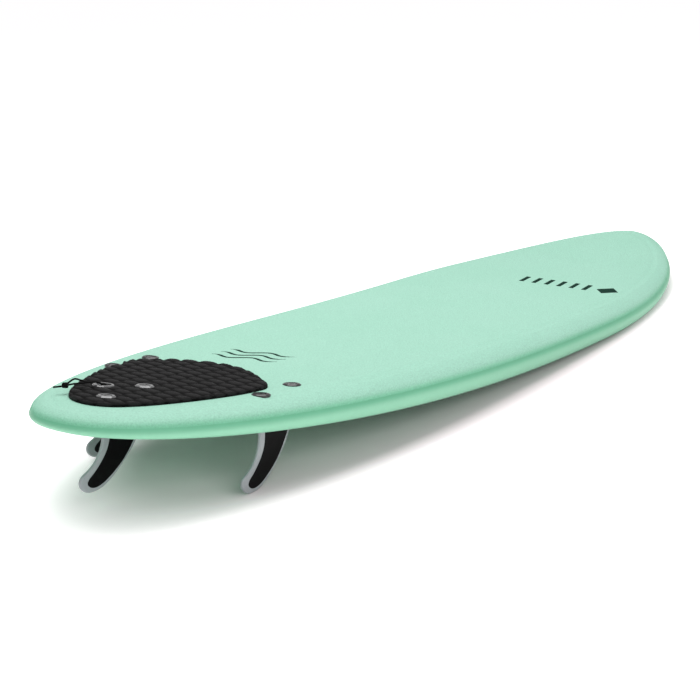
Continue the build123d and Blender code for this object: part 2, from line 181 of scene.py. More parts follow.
def new_material(name):
    """A new material, with its nodes, links and main shader."""
    material = bpy.data.materials.new(name)
    material.use_nodes = True
    nodes = material.node_tree.nodes
    shader = nodes["Principled BSDF"]
    return material, nodes, material.node_tree.links, shader


def add_node(nodes, kind, **inputs):
    """A new node with some of its inputs set."""
    node = nodes.new(kind)
    for key, value in inputs.items():
        node.inputs[key].default_value = value
    return node


def noise(nodes, links, position, scale, detail=4.0, rough=0.55):
    node = add_node(nodes, "ShaderNodeTexNoise", Scale=scale, Detail=detail, Roughness=rough)
    links.new(position, node.inputs["Vector"])
    return node.outputs["Fac"]


def ramp(nodes, links, value, stops):
    """The colour at value between stops, which are (position, colour) pairs."""
    node = nodes.new("ShaderNodeValToRGB")
    elements = node.color_ramp.elements
    while len(elements) < len(stops):
        elements.new(0.5)
    for element, (position, colour) in zip(elements, stops):
        element.position = position
        element.color = (*colour, 1)
    links.new(value, node.inputs["Fac"])
    return node.outputs["Color"]


def mix(nodes, links, first, second, share, mode="MIX"):
    """Two colours mixed. Each is a colour or another node's output, and share a number or an output."""
    node = nodes.new("ShaderNodeMix")
    node.data_type = "RGBA"
    node.blend_type = mode
    for socket, value in ((node.inputs[0], share), (node.inputs[6], first), (node.inputs[7], second)):
        if hasattr(value, "is_linked"):
            links.new(value, socket)
        elif isinstance(value, (int, float)):
            socket.default_value = value
        else:
            socket.default_value = (*value, 1)
    return node.outputs[2]


def bump(nodes, links, height, distance, strength=1.0, under=None):
    node = add_node(nodes, "ShaderNodeBump", Strength=strength, Distance=distance)
    links.new(height, node.inputs["Height"])
    if under is not None:
        links.new(under, node.inputs["Normal"])
    return node.outputs["Normal"]


def object_position(nodes):
    return nodes.new("ShaderNodeTexCoord").outputs["Object"]


def speckled(name, dark, light, roughness, grain, cell, speckle=0.0, coat=0.0, shine=0.5, painted_shade=None):
    """Foam or moulded plastic: soft clouding, fine grain in the colour, cells in the bump.

    grain is the grain's scale and cell its depth (m). The last argument is the tint of a painted
    shade, multiplied into the colour where the mesh's own shade attribute is 1.
    """
    material, nodes, links, shader = new_material(name)
    position = object_position(nodes)
    clouds = noise(nodes, links, position, 5.0, 3)
    tint = ramp(nodes, links, clouds, [(0.3, dark), (0.7, light)])
    fine = noise(nodes, links, position, grain, 2, 0.7)
    if speckle:
        flecks = ramp(nodes, links, fine, [(0.36, (1 - speckle,) * 3), (0.62, (1, 1, 1))])
        tint = mix(nodes, links, tint, flecks, 1.0, "MULTIPLY")
    # Painted shade: the colour is multiplied by the shade tint where the mesh's shade attribute is 1.
    if painted_shade:
        depth = nodes.new("ShaderNodeAttribute")
        depth.attribute_name = SHADE_ATTRIBUTE
        tint = mix(nodes, links, tint, mix(nodes, links, tint, painted_shade, 1.0, "MULTIPLY"), depth.outputs["Fac"])
    links.new(tint, shader.inputs["Base Color"])
    cells = add_node(nodes, "ShaderNodeTexVoronoi", Scale=grain * 0.9)
    links.new(position, cells.inputs["Vector"])
    normal = bump(nodes, links, cells.outputs["Distance"], cell)
    normal = bump(nodes, links, fine, cell, 0.8, normal)
    links.new(normal, shader.inputs["Normal"])
    wear = noise(nodes, links, position, 40.0, 3)
    gloss = nodes.new("ShaderNodeMapRange")
    gloss.inputs["To Min"].default_value = roughness - ROUGHNESS_SPREAD
    gloss.inputs["To Max"].default_value = roughness + ROUGHNESS_SPREAD
    links.new(wear, gloss.inputs["Value"])
    links.new(gloss.outputs["Result"], shader.inputs["Roughness"])
    shader.inputs["Coat Weight"].default_value = coat
    shader.inputs["Specular IOR Level"].default_value = shine
    return material


# The deck's and the bottom's shade tints darken them along the seam's groove: painted shade.
deck_material = speckled(
    "deck_foam", (0.37, 0.675, 0.535), (0.39, 0.69, 0.555), roughness=0.66, grain=330.0, cell=0.0006,
    speckle=0.13, shine=0.2, painted_shade=(0.50, 0.77, 0.62),
)
bottom_material = speckled(
    "slick_bottom", (0.262, 0.588, 0.402), (0.277, 0.608, 0.417), roughness=0.46, grain=90.0, cell=0.00012,
    speckle=0.02, shine=0.22, painted_shade=(0.52, 0.74, 0.66),
)
# The pad's colour is multiplied by its shade tint between the bumps, a painted shade; the bump tops keep the
# full base tint, a painted highlight.
pad_material = speckled(
    "eva_pad", (0.021, 0.0205, 0.021), (0.026, 0.0254, 0.026), roughness=0.56, grain=900.0, cell=0.00025,
    speckle=0.25, shine=0.05, painted_shade=(0.12, 0.12, 0.12),
)
plug_material = speckled(
    "black_plug", (0.008, 0.008, 0.009), (0.012, 0.012, 0.013), roughness=0.32, grain=500.0, cell=0.00004,
    speckle=0.1, coat=0.2,
)
# The pad's plugs and the leash plug take a lighter grey copy of the black plug's finish: its lighter base
# colour is a painted highlight.
plug_painted_highlight_material = speckled(
    "glossy_plug_painted_highlight", (0.085, 0.085, 0.088), (0.115, 0.115, 0.118), roughness=0.20, grain=500.0, cell=0.00004,
    speckle=0.1, coat=1.0,
)
bolt_material = speckled(
    "bolt", (0.050, 0.050, 0.052), (0.068, 0.068, 0.070), roughness=0.26, grain=700.0, cell=0.00004,
    speckle=0.1, coat=0.5,
)
core_material = speckled(
    "fin_core", (0.0012, 0.0012, 0.0014), (0.0022, 0.0021, 0.0024), roughness=0.42, grain=260.0, cell=0.00004,
    speckle=0.1, shine=0.05,
)
print_material = speckled(
    "print_ink", (0.003, 0.030, 0.019), (0.005, 0.038, 0.024), roughness=0.8, grain=330.0, cell=0.0004,
    speckle=0.25, shine=0.1,
)
foam_material = speckled(
    "eps_foam", (0.80, 0.80, 0.78), (0.84, 0.84, 0.82), roughness=0.7, grain=200.0, cell=0.0008, speckle=0.06,
)


def fin_edge_finish():
    """Milky grey soft moulding, a little light passing through it."""
    material, nodes, links, shader = new_material("fin_edge")
    position = object_position(nodes)
    clouds = noise(nodes, links, position, 22.0, 4)
    tint = ramp(nodes, links, clouds, [(0.3, (0.36, 0.39, 0.41)), (0.7, (0.42, 0.45, 0.47))])
    links.new(tint, shader.inputs["Base Color"])
    shader.inputs["Roughness"].default_value = 0.34
    shader.inputs["Transmission Weight"].default_value = 0.22
    shader.inputs["Subsurface Weight"].default_value = 0.25
    shader.inputs["Subsurface Radius"].default_value = (0.006, 0.006, 0.006)
    shader.inputs["Coat Weight"].default_value = 0.2
    links.new(bump(nodes, links, noise(nodes, links, position, 300.0), 0.00004), shader.inputs["Normal"])
    return material


def grained(name, dark, light, stretch, roughness, metallic):
    """Streaks along one axis: the plywood's grain, or the pin's drawn surface."""
    material, nodes, links, shader = new_material(name)
    mapping = add_node(nodes, "ShaderNodeMapping", Scale=stretch)
    links.new(object_position(nodes), mapping.inputs["Vector"])
    streaks = noise(nodes, links, mapping.outputs["Vector"], 1.0, 5, 0.6)
    links.new(ramp(nodes, links, streaks, [(0.3, dark), (0.7, light)]), shader.inputs["Base Color"])
    links.new(bump(nodes, links, streaks, 0.0001), shader.inputs["Normal"])
    shader.inputs["Roughness"].default_value = roughness
    shader.inputs["Metallic"].default_value = metallic
    return material


def braid():
    """Black braided string: two sets of crossing strands in the bump and the colour."""
    material, nodes, links, shader = new_material("string")
    position = object_position(nodes)
    heights = []
    for turn in (0.7, -0.7):
        mapping = add_node(nodes, "ShaderNodeMapping", Rotation=(turn, 0.4, radians(STRING_HEADING) + turn))
        links.new(position, mapping.inputs["Vector"])
        wave = add_node(nodes, "ShaderNodeTexWave", Scale=420.0, Distortion=1.0)
        links.new(mapping.outputs["Vector"], wave.inputs["Vector"])
        heights.append(wave.outputs["Fac"])
    woven = mix(nodes, links, heights[0], heights[1], 0.5)
    tint = ramp(nodes, links, woven, [(0.2, (0.0015,) * 3), (0.8, (0.006,) * 3)])
    links.new(tint, shader.inputs["Base Color"])
    links.new(bump(nodes, links, woven, 0.0004), shader.inputs["Normal"])
    shader.inputs["Roughness"].default_value = 0.7
    shader.inputs["Specular IOR Level"].default_value = 0.12
    return material


edge_material = fin_edge_finish()
string_material = braid()
wood_material = grained(
    "plywood", (0.42, 0.25, 0.11), (0.60, 0.40, 0.20), stretch=(12, 300, 300), roughness=0.6, metallic=0.0
)
brass_material = grained(
    "brass", (0.52, 0.34, 0.12), (0.66, 0.46, 0.18), stretch=(900, 900, 60), roughness=0.28, metallic=1.0
)
steel_material = grained(
    "steel_bar", (0.42, 0.43, 0.44), (0.56, 0.57, 0.58), stretch=(900, 900, 200), roughness=0.25, metallic=1.0
)

# Each CAD node takes the material of the first of these that its name starts with.
NODE_MATERIALS = {
    "deck_plug_centre": plug_painted_highlight_material, "deck_plug": plug_material,
    "leash_plug": plug_painted_highlight_material, "leash_bar": steel_material,
    "fin_bolt": bolt_material, "bolt_insert": brass_material, "foam_core": foam_material,
    "stringer": wood_material, "fin_core": core_material, "fin_edge": edge_material,
    "deck_skin": deck_material, "bottom_skin": bottom_material, "tail_pad": pad_material,
    "leash_": string_material,
}
for name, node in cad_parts.items():
    finish = next(material for start, material in NODE_MATERIALS.items() if name.startswith(start))
    node.data.materials.clear()
    node.data.materials.append(finish)


# ---------------------------------------------------------------- the leash string
# The knot (mm): its centre, its wraps' radius, pitch, count and points a turn, their slant, the share of the
# radius that their ends start at and how fast they open from it, and the radius of the string in it.
KNOT_ALONG, KNOT_UP = 71.5, 5.6
KNOT_RADIUS, KNOT_PITCH, KNOT_TURNS, KNOT_POINTS = 3.3, 3.1, 3, 16
KNOT_SLANT, KNOT_TUCK, KNOT_OPENING = 0.5, 0.35, 6
KNOT_STRING = 1.65


def knot_route():
    """Three tight wraps round the two strands, their ends tucked in to the middle."""
    steps = KNOT_POINTS * KNOT_TURNS
    route = []
    for k in range(steps + 1):
        share = k / steps
        turn = 2 * pi * KNOT_TURNS * share
        from_end = min(share, 1 - share)
        reach = KNOT_RADIUS * min(1, KNOT_TUCK + KNOT_OPENING * from_end)
        along = KNOT_PITCH * KNOT_TURNS * (share - 0.5) + KNOT_SLANT * sin(turn)
        route.append((KNOT_ALONG + along, reach * cos(turn), KNOT_UP + reach * sin(turn)))
    return route


knot = add_object("string_knot", string_curve("knot", knot_route(), KNOT_STRING), string_material)
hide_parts("leash_knot")
string_end = add_object("string_end", string_curve("string_end", STRING_END), string_material)
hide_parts("leash_string_end")
for name, route, length, node in (
    ("string_strand_upper", STRAND_UPPER, STRAND_UPPER_LENGTH, "leash_strand_upper"),
    ("string_strand_lower", STRAND_LOWER, STRAND_LOWER_LENGTH, "leash_strand_lower"),
):
    strand = add_object(name, string_curve(name, route), string_material)
    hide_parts(node)


# ---------------------------------------------------------------- board skins
# The seam between the skins: its height as a share of the thickness, its groove's depth and half width (mm),
# and how far the painted shade along its groove spreads as a share of that half width.
SEAM, SEAM_DEPTH, SEAM_WIDTH = 0.50, 2.8, 7.0
SEAM_SHADE_SPREAD = 1.2
# The deck's relief (mm): how far in its valley and its bead lie, their half widths, and their heights.
VALLEY_PLACE, VALLEY_WIDTH, VALLEY_DEPTH = 62, 9, 1.4
BEAD_PLACE, BEAD_WIDTH, BEAD_HEIGHT = 44, 10, 0.5
# Rows of points from the tail to the nose, and the step that finds the rail's direction.
ROWS, TURN_STEP = 360, 0.001
# An inward place above this is a share of the way to the middle, added to it.
AS_SHARE = 1000


def station_at(turn):
    """Distance (mm) from the tail: turn runs from 0 to 1, closely spaced near the ends."""
    return LENGTH * (1 - np.cos(pi * turn)) / 2


def inward_direction(turn):
    """Unit vectors in plan, square to the rail and toward the board's middle."""
    before = station_at(np.clip(turn - TURN_STEP, 0, 1))
    after = station_at(np.clip(turn + TURN_STEP, 0, 1))
    run, rise = after - before, half_width(after) - half_width(before)
    size = np.hypot(run, rise)
    ends = (turn == 0) | (turn == 1)
    return np.where(ends, 1 - 2 * turn, rise / size), np.where(ends, 0, -run / size)


def section_places(turn, inward, on_deck, inset=0.0, deck_cover=0.0, bottom_cover=0.0, groove=0.0):
    """Points (mm) on half of the board: turn runs tail to nose, inward from the rail to the centre line.

    Gives x, y and z, the distance inward, and the painted shade at each point, strongest at the seam's groove.
    """
    station = station_at(turn)
    side = half_width(station)
    toward_x, toward_y = inward_direction(turn)
    target = FAN_TAIL + (1 - (FAN_TAIL + FAN_NOSE) / LENGTH) * station
    span = np.hypot(target - station, side)
    inward = np.where(inward > AS_SHARE, span * (inward - AS_SHARE), inward)
    share = inward / span
    reach = 2 * share * (1 - share)
    x = (1 - share) ** 2 * station + reach * (station + FAN_LEAD * toward_x) + share**2 * target
    y = (1 - share) ** 2 * side + reach * (side + FAN_LEAD * toward_y)
    crown = 1 - (1 - share) ** 2
    rounding = (1 - CROWN) * quarter_round(inward / RAIL_ROUND) + CROWN * crown
    deck = APEX + (1 - APEX) * rounding
    fraction = np.where(on_deck, deck, APEX * (1 - quarter_round(inward / CHINE_ROUND)))
    depth = thickness(x)
    off_seam = (fraction - SEAM) * depth / SEAM_WIDTH
    shift = (inset + groove * np.exp(-(off_seam**2))) * (1 - share)
    z = bottom_height(x) + bottom_cover + fraction * (depth - deck_cover - bottom_cover)
    x, y = x + shift * toward_x - LENGTH / 2, np.maximum(0, y + shift * toward_y)
    return x, y, z, inward * np.ones_like(x), np.exp(-((off_seam / SEAM_SHADE_SPREAD) ** 2))


def closed_half_shell(outer, inner):
    """Vertices and faces of a closed half shell between two grids of the same size (rows x columns)."""
    rows, columns = outer[0].shape
    vertices = []
    for grid in (outer, inner):
        vertices.extend(zip(*(part.ravel() * MM for part in grid[:3])))
    faces = []
    for layer, flip in ((0, False), (rows * columns, True)):
        for r in range(rows - 1):
            for c in range(columns - 1):
                a = layer + r * columns + c
                quad = (a, a + 1, a + columns + 1, a + columns)
                faces.append(quad[::-1] if flip else quad)
    for r in range(rows - 1):
        a = r * columns
        b = a + rows * columns
        faces.append((a, a + columns, b + columns, b))
    return vertices, faces


def shell_mesh(name, outer, inner):
    """Both halves of a board skin, welded into one closed mesh along the centre line."""
    vertices, faces = closed_half_shell(outer, inner)
    count = len(vertices)
    vertices = vertices + [(x, -y, z) for x, y, z in vertices]
    faces = faces + [tuple(i + count for i in reversed(face)) for face in faces]
    mesh = bpy.data.meshes.new(name)
    mesh.from_pydata(vertices, [], faces)
    # Painted shade along the seam's groove, on each skin's outer face only.
    depth = np.concatenate([outer[4].ravel(), np.zeros(outer[4].size)])
    mesh.attributes.new(SHADE_ATTRIBUTE, "FLOAT", "POINT").data.foreach_set("value", np.tile(depth, 2))
    work = bmesh.new()
    work.from_mesh(mesh)
    bmesh.ops.remove_doubles(work, verts=work.verts, dist=2e-6)
    middle_faces = [face for face in work.faces if all(abs(v.co.y) < 1e-7 for v in face.verts)]
    bmesh.ops.delete(work, geom=middle_faces, context="FACES")
    bmesh.ops.dissolve_degenerate(work, edges=work.edges, dist=1e-6)
    bmesh.ops.recalc_face_normals(work, faces=work.faces)
    work.to_mesh(mesh)
    work.free()
    mesh.polygons.foreach_set("use_smooth", [True] * len(mesh.polygons))
    return mesh


def deck_relief(inward):
    """The inner edge of the rail's soft foam: a shallow valley with a faint bead outside it."""
    valley = np.exp(-(((inward - VALLEY_PLACE) / VALLEY_WIDTH) ** 2))
    bead = np.exp(-(((inward - BEAD_PLACE) / BEAD_WIDTH) ** 2))
    return BEAD_HEIGHT * bead - VALLEY_DEPTH * valley


# How far in from the rail the seam lies, on the deck's side of it.
seam_rounding = (SEAM - APEX) / (1 - APEX) / (1 - CROWN)
SEAM_INWARD = float(RAIL_ROUND * (1 - np.sqrt(1 - seam_rounding**2)))

# Columns of points, close together where the rail is tightly rounded. The bottom's skin starts at the seam,
# goes out to the rail over the first places of its list, and then in along the bottom.
turns = np.linspace(0, 1, ROWS + 1)[:, None]
deck_inward = np.concatenate([
    SEAM_INWARD + np.array([0, 0.25, 0.55, 0.9, 1.3, 1.8, 2.4, 3.1, 4, 5.2, 6.6, 8.4, 10.6, 13.2]),
    np.arange(18.5, 106, 3.0), AS_SHARE + np.linspace(0.42, 1.0, 16),
])[None, :]
out_to_rail = [SEAM_INWARD, 2.0, 1.7, 1.4, 1.1, 0.8, 0.5, 0.25, 0.1]
in_from_rail = [0, 0.1, 0.3, 0.7, 1.3, 2.1, 3.1, 4.4, 6, 8, 10.5, 13.5, 17, 21, 25, 29, 30, 34, 45, 60]
bottom_inward = np.concatenate([out_to_rail, in_from_rail, AS_SHARE + np.linspace(0.3, 1.0, 10)])[None, :]
bottom_on_deck = np.arange(bottom_inward.shape[1])[None, :] < len(out_to_rail)


def board_skin(name, inward, on_deck, relief=False):
    """A skin of the board, from the rail's seam to the centre line, with its own thickness."""
    outer = list(section_places(turns, inward, on_deck, groove=SEAM_DEPTH))
    inner = list(section_places(turns, inward, on_deck, DECK_SKIN, DECK_SKIN, BOTTOM_SKIN))
    if relief:
        outer[2] = outer[2] + deck_relief(outer[3])
    return shell_mesh(name, outer, inner)


deck_mesh = board_skin("deck", deck_inward, np.ones_like(deck_inward, dtype=bool), relief=True)
bottom_mesh = board_skin("bottom", bottom_inward, bottom_on_deck)


def cut_round(piece, place, axis, radius, low, high):
    """Cuts a round hole into a piece, along axis from low to high about place."""
    hole = bmesh.new()
    bmesh.ops.create_cone(hole, cap_ends=True, segments=96, radius1=radius, radius2=radius, depth=high - low)
    turn = axis.to_track_quat("Z", "Y").to_matrix().to_4x4()
    matrix = Matrix.Translation(place + axis * (low + high) / 2) @ turn
    bmesh.ops.transform(hole, matrix=matrix, verts=hole.verts)
    mesh = bpy.data.meshes.new("hole")
    hole.to_mesh(mesh)
    hole.free()
    cutter = bpy.data.objects.new("hole", mesh)
    scene.collection.objects.link(cutter)
    cut = piece.modifiers.new("hole", "BOOLEAN")
    cut.operation, cut.solver, cut.object = "DIFFERENCE", "MANIFOLD", cutter
    bpy.context.view_layer.update()
    shaped = bpy.data.meshes.new_from_object(piece.evaluated_get(bpy.context.evaluated_depsgraph_get()))
    piece.modifiers.clear()
    piece.data = shaped
    bpy.data.objects.remove(cutter)


deck = add_object("board_deck", deck_mesh, deck_material)
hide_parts("deck_skin")
bottom = add_object("board_bottom", bottom_mesh, bottom_material)
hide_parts("bottom_skin")

# Ray casts on the whole deck place what lies on it, before the leash cup's hole is cut.
deck_tree = BVHTree.FromPolygons(
    [v.co.copy() for v in deck.data.vertices], [tuple(p.vertices) for p in deck.data.polygons]
)


def deck_height(x, y):
    """Height (m) of the deck at a point in plan (m)."""
    hit = deck_tree.ray_cast(Vector((x, y, 1)), Vector((0, 0, -1)))[0]
    return hit.z if hit else 0.0


def deck_heights(points):
    """Heights (m) of the deck at points in plan (mm)."""
    return np.array([deck_height(x * MM, y * MM) for x, y in points])


# ---------------------------------------------------------------- plates: closed pieces with a plan outline
# Space between the rows of an even triangular grid, as a share of its step.
ROW_STEP = 0.866
# A row along an edge keeps the points at least this share of its offset from every edge, and the grid keeps
# those at least this share of its step beyond the last row.
RING_ROOM, GRID_ROOM = 0.85, 0.55
SHARP = radians(50)


def smooth_loop(points, step):
    """Closed Catmull-Rom curve through the points, at about even steps."""
    points = [np.array(p, dtype=float) for p in points]
    count = len(points)
    loop = []
    for i in range(count):
        p0, p1, p2, p3 = (points[(i + k) % count] for k in (-1, 0, 1, 2))
        d1, d2, d3 = (np.linalg.norm(b - a) ** 0.5 for a, b in ((p0, p1), (p1, p2), (p2, p3)))
        m1 = (p1 - p0) / d1 - (p2 - p0) / (d1 + d2) + (p2 - p1) / d2
        m2 = (p2 - p1) / d2 - (p3 - p1) / (d2 + d3) + (p3 - p2) / d3
        m1, m2 = m1 * d2, m2 * d2
        pieces = max(1, round(np.linalg.norm(p2 - p1) / step))
        for k in range(pieces):
            t = k / pieces
            loop.append(
                (2 * t**3 - 3 * t**2 + 1) * p1 + (t**3 - 2 * t**2 + t) * m1
                + (3 * t**2 - 2 * t**3) * p2 + (t**3 - t**2) * m2
            )
    return np.array(loop)


def inside(loop, points):
    """Whether each point lies inside the closed loop."""
    result = np.zeros(len(points), dtype=bool)
    x, y = points[:, 0], points[:, 1]
    for (x0, y0), (x1, y1) in zip(loop, np.roll(loop, -1, axis=0)):
        if y0 == y1:
            continue
        crosses = (y0 > y) != (y1 > y)
        result ^= crosses & (x < (x1 - x0) * (y - y0) / (y1 - y0) + x0)
    return result


def distance_to(loop, points):
    """Distance from each point to the closed loop."""
    best = np.full(len(points), 1e9)
    for a, b in zip(loop, np.roll(loop, -1, axis=0)):
        run = b - a
        along = np.clip(((points - a) @ run) / max(run @ run, 1e-12), 0, 1)
        best = np.minimum(best, np.hypot(*(points - a - along[:, None] * run).T))
    return best


def inset_loop(loop, offset):
    """The loop moved inward (left of its direction when anticlockwise) by offset."""
    tangent = np.roll(loop, -1, axis=0) - np.roll(loop, 1, axis=0)
    normal = np.stack([-tangent[:, 1], tangent[:, 0]], axis=1)
    return loop + normal / np.linalg.norm(normal, axis=1)[:, None] * offset


def in_plate(outline, holes, points):
    """Whether each point lies inside the outline and outside every hole."""
    keep = inside(outline, points)
    for hole in holes:
        keep &= ~inside(hole, points)
    return keep


def edge_gaps(loops, points):
    """Distance from each point to the nearest of the loops."""
    return np.min([distance_to(loop, points) for loop in loops], axis=0)


def plate_points(outline, holes, step, rings):
    """Plan points of a plate and its boundary edges: the loops, rows along them, and a grid within."""
    loops = [outline] + [hole[::-1] for hole in holes]
    points, edges = [], []
    for loop in loops:
        start = len(points)
        points.extend(loop)
        edges.extend((start + i, start + (i + 1) % len(loop)) for i in range(len(loop)))
    for loop in loops:
        for ring in rings:
            row = inset_loop(loop, ring)
            row = row[in_plate(outline, holes, row)]
            points.extend(row[edge_gaps(loops, row) > RING_ROOM * ring])
    low, high = outline.min(axis=0), outline.max(axis=0)
    row_step = step * ROW_STEP
    grid_x, grid_y = np.meshgrid(np.arange(low[0], high[0], step), np.arange(low[1], high[1], row_step))
    grid_x = grid_x + (np.arange(grid_x.shape[0])[:, None] % 2) * step / 2
    grid = np.stack([grid_x.ravel(), grid_y.ravel()], axis=1)
    grid = grid[in_plate(outline, holes, grid)]
    points.extend(grid[edge_gaps(loops, grid) > rings[-1] + GRID_ROOM * step])
    return points, edges, loops


def boundary_edges(triangles):
    """The directed edges that only one triangle has."""
    used = dict.fromkeys(edge for a, b, c in triangles for edge in ((a, b), (b, c), (c, a)))
    return [(a, b) for a, b in used if (b, a) not in used]


def plate_mesh(name, outline, holes, step, rings, place, shade=None):
    """Closed plate: top and bottom faces over a plan outline with holes, and walls between them.

    place(points, gaps, top) gives the 3-D points (m) of plan points (mm) at those
    distances from the nearest edge. shade(points) gives their painted shade attribute.
    """
    after = np.roll(outline, -1, axis=0)
    if np.sum(outline[:, 0] * after[:, 1] - outline[:, 1] * after[:, 0]) < 0:
        outline = outline[::-1]
    points, edges, loops = plate_points(outline, holes, step, rings)
    result = geometry.delaunay_2d_cdt([Vector(p) for p in points], edges, [], 0, 1e-6)
    flat = np.array([tuple(v) for v in result[0]])
    triangles = np.array([tuple(f) for f in result[2]])
    triangles = triangles[in_plate(outline, holes, flat[triangles].mean(axis=1))]
    gaps = edge_gaps(loops, flat)
    count = len(flat)
    faces = [tuple(t) for t in triangles] + [tuple(t[::-1] + count) for t in triangles]
    faces.extend((b, a, a + count, b + count) for a, b in boundary_edges(triangles))
    mesh = bpy.data.meshes.new(name)
    vertices = np.concatenate([place(flat, gaps, True), place(flat, gaps, False)])
    mesh.from_pydata([tuple(v) for v in vertices], [], faces)
    if shade:
        # Painted shade: shade() on the top face, full shade on the underside.
        depth = np.concatenate([shade(flat), np.ones(count)])
        mesh.attributes.new(SHADE_ATTRIBUTE, "FLOAT", "POINT").data.foreach_set("value", depth)
    work = bmesh.new()
    work.from_mesh(mesh)
    loose = [v for v in work.verts if not v.link_faces]
    bmesh.ops.delete(work, geom=loose, context="VERTS")
    bmesh.ops.recalc_face_normals(work, faces=work.faces)
    work.to_mesh(mesh)
    work.free()
    mesh.polygons.foreach_set("use_smooth", [True] * len(mesh.polygons))
    mesh.set_sharp_from_angle(angle=SHARP)
    return mesh


# ---------------------------------------------------------------- tail pad
# The pad's outline (mm): the stations of its two ends, its shift to the left, and its left half from the rear.
PAD_TIP, PAD_FRONT, PAD_SHIFT = 72, 431, 5.0
PAD_HALF = [
    (76, 24), (89, 47), (119, 72), (150, 90), (214, 117), (282, 138), (330, 146), (352, 145),
    (369, 135), (390, 107), (410, 75), (424, 42),
]
# Heights of the pad's base sheet, its bumps and its rim's rounding, and the gap under it.
PAD_BASE, PAD_BUMP, PAD_RIM, PAD_GAP = 4.6, 3.4, 1.2, 0.02
RIM_REACH = 1.6
# The bumps fade out this close to the pad's edge, and to a plug's hole.
CALM_EDGE, CALM_HOLE = 2.5, 5
# The bumps' spacing along the board and across it, and half of their size in the same directions.
BUMP_PITCH, BUMP_ROW = 22.7, 32.0
BUMP_HALF_WIDTH, BUMP_HALF_LENGTH = 10.6, 20.5
# The painted shade between the bumps, and how much of it is gone on top of one, which leaves a painted
# highlight there.
SHADE_LOW, SHADE_FADE = 1.1, 1.3
PAD_STEP, PAD_RINGS = 1.7, [0.25, 0.8, 1.6]
# Radii of the pad's holes over its own plugs, and of the notch it leaves round each plug at its edge.
PAD_PLUGS = {"deck_plug_centre_front": 15.9, "deck_plug_centre_rear": 15.9, "leash_plug": 18.4}
EDGE_PLUGS, NOTCH = ["deck_plug_left_rear", "deck_plug_right_rear"], 17.5
# The leash cup's hole in the deck: its radius, and its reach below and above the cup's top.
LEASH_HOLE, LEASH_HOLE_LOW, LEASH_HOLE_HIGH = 15.45, -60, 20


def pad_bumps(x, y):
    """Share of the bump height at plan points: lens-shaped domes in a brick pattern."""
    height = np.zeros_like(x)
    for odd in (0, 1):
        row = np.round((y / BUMP_ROW - odd) / 2) * 2 + odd
        across = (y - row * BUMP_ROW) / BUMP_HALF_LENGTH
        shifted = x / BUMP_PITCH - 0.5 * odd
        along = (shifted - np.round(shifted)) * BUMP_PITCH
        width = np.clip(1 - across**2, 1e-6, None)
        reach = (along / BUMP_HALF_WIDTH) / width
        dome = np.clip(1 - reach**2, 0, None) ** 0.75 * np.clip(1 - np.abs(across) ** 3, 0, None)
        height = np.maximum(height, np.where(np.abs(across) < 1, dome, 0))
    return height


def round_hole(centre, radius, points=72):
    """A circle's points (mm) about a centre (m)."""
    return np.array([
        (centre.x / MM + radius * cos(2 * pi * k / points), centre.y / MM + radius * sin(2 * pi * k / points))
        for k in range(points)
    ])


def plug_top(name):
    """Centre of a plug's top (m)."""
    low, high = (Vector(corner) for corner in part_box(name))
    return Vector(((low.x + high.x) / 2, (low.y + high.y) / 2, high.z))


side = [(s - LENGTH / 2, y) for s, y in PAD_HALF]
pad_outline = smooth_loop(
    [(PAD_TIP - LENGTH / 2, 0)] + side + [(PAD_FRONT - LENGTH / 2, 0)]
    + [(x, -y) for x, y in reversed(side)], step=1.3,
) + (0, PAD_SHIFT)
plug_places = {name: plug_top(name) for name in [*PAD_PLUGS, *EDGE_PLUGS]}
for name in EDGE_PLUGS:
    centre = np.array(plug_places[name].xy) / MM
    away = pad_outline - centre
    reach = np.hypot(*away.T)[:, None]
    pad_outline = np.where(reach < NOTCH, centre + away / reach * NOTCH, pad_outline)
pad_holes = [round_hole(plug_places[name], radius) for name, radius in PAD_PLUGS.items()]


def pad_place(points, gaps, top):
    """The pad's surface over the deck: a rounded rim, a base sheet, and the bumps on it."""
    under = deck_heights(points)
    if not top:
        return np.column_stack([points * MM, under + PAD_GAP * MM])
    rim = quarter_round(gaps / RIM_REACH)
    calm = np.clip(gaps / CALM_EDGE, 0, 1)
    for name, radius in PAD_PLUGS.items():
        centre = np.array(plug_places[name].xy) / MM
        away = np.hypot(*(points - centre).T) - radius
        calm = calm * np.clip(away / CALM_HOLE, 0, 1)
    bumps = pad_bumps(points[:, 0], points[:, 1])
    rise = (PAD_BASE - PAD_RIM) + PAD_RIM * rim + PAD_BUMP * bumps * calm
    return np.column_stack([points * MM, under + rise * MM])


def pad_shade(points):
    """Painted shade, dark between the bumps, and a painted highlight, light on top of them."""
    return np.clip(SHADE_LOW - SHADE_FADE * pad_bumps(points[:, 0], points[:, 1]), 0, 1)


pad_mesh = plate_mesh("pad", pad_outline, pad_holes, PAD_STEP, PAD_RINGS, pad_place, pad_shade)
pad = add_object("traction_pad", pad_mesh, pad_material)
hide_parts("tail_pad")

cut_round(
    deck, plug_places["leash_plug"], axis=string_up, radius=LEASH_HOLE * MM,
    low=LEASH_HOLE_LOW * MM, high=LEASH_HOLE_HIGH * MM,
)
deck.data.polygons.foreach_set("use_smooth", [True] * len(deck.data.polygons))
deck.data.set_sharp_from_angle(angle=SHARP)


# ---------------------------------------------------------------- generic prints on the deck
# How far (mm) a print stands above the deck and reaches into it, and the spacing of its mesh.
INK, INK_ROOT = 0.12, 0.3
PRINT_STEP, PRINT_RINGS = 4.0, [0.3]


def print_place(points, gaps, top):
    """A print's surface, which follows the deck whatever the distance from its edge."""
    return np.column_stack([points * MM, deck_heights(points) + (INK if top else -INK_ROOT) * MM])


